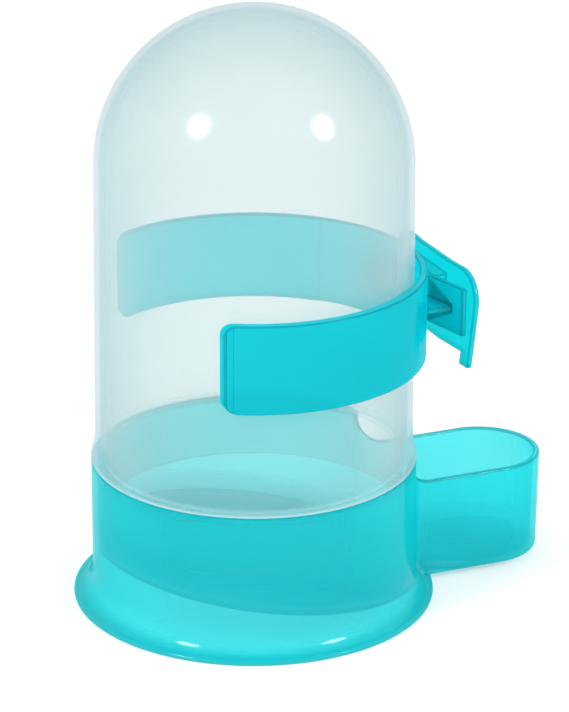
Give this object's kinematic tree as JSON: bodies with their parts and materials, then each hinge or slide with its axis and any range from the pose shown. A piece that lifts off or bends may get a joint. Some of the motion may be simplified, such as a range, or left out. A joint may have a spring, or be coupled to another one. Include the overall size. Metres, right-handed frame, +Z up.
{
  "type": "clip-on cage drinker",
  "caption": "Gravity drinker for small cage animals: a domed see-through bottle stands mouth down in a footed base with a drinking cup, and a spring clip hooks it on cage wires.",
  "frame": {"origin": "bottom centre of the box round the whole part, on the plane the foot stands on", "axes": "+X from the bottle towards the drinking cup and the hook, +Z up along the bottle's axis"},
  "size_m": [0.1272, 0.0932, 0.155],
  "materials": {
    "frosted_plastic": "milky see-through plastic, smooth outside",
    "teal_plastic_base": "translucent teal plastic, glossy",
    "teal_plastic_clip": "translucent teal plastic, glossy"
  },
  "bodies": {
    "base": {"base": "teal_plastic_base"},
    "bottle": {"bottle": "frosted_plastic"},
    "clip": {"clip": "teal_plastic_clip"}
  },
  "joints": [
    {"name": "bottle_lift", "type": "slide", "parent": "base", "child": "bottle", "axis": [0, 0, 1], "range_m": [0, 0.05]},
    {"name": "clip_turn", "type": "hinge", "parent": "bottle", "child": "clip", "pos_m": [-0.01695, 0, 0.07685], "axis": [0, 0, 1], "continuous": true}
  ]
}
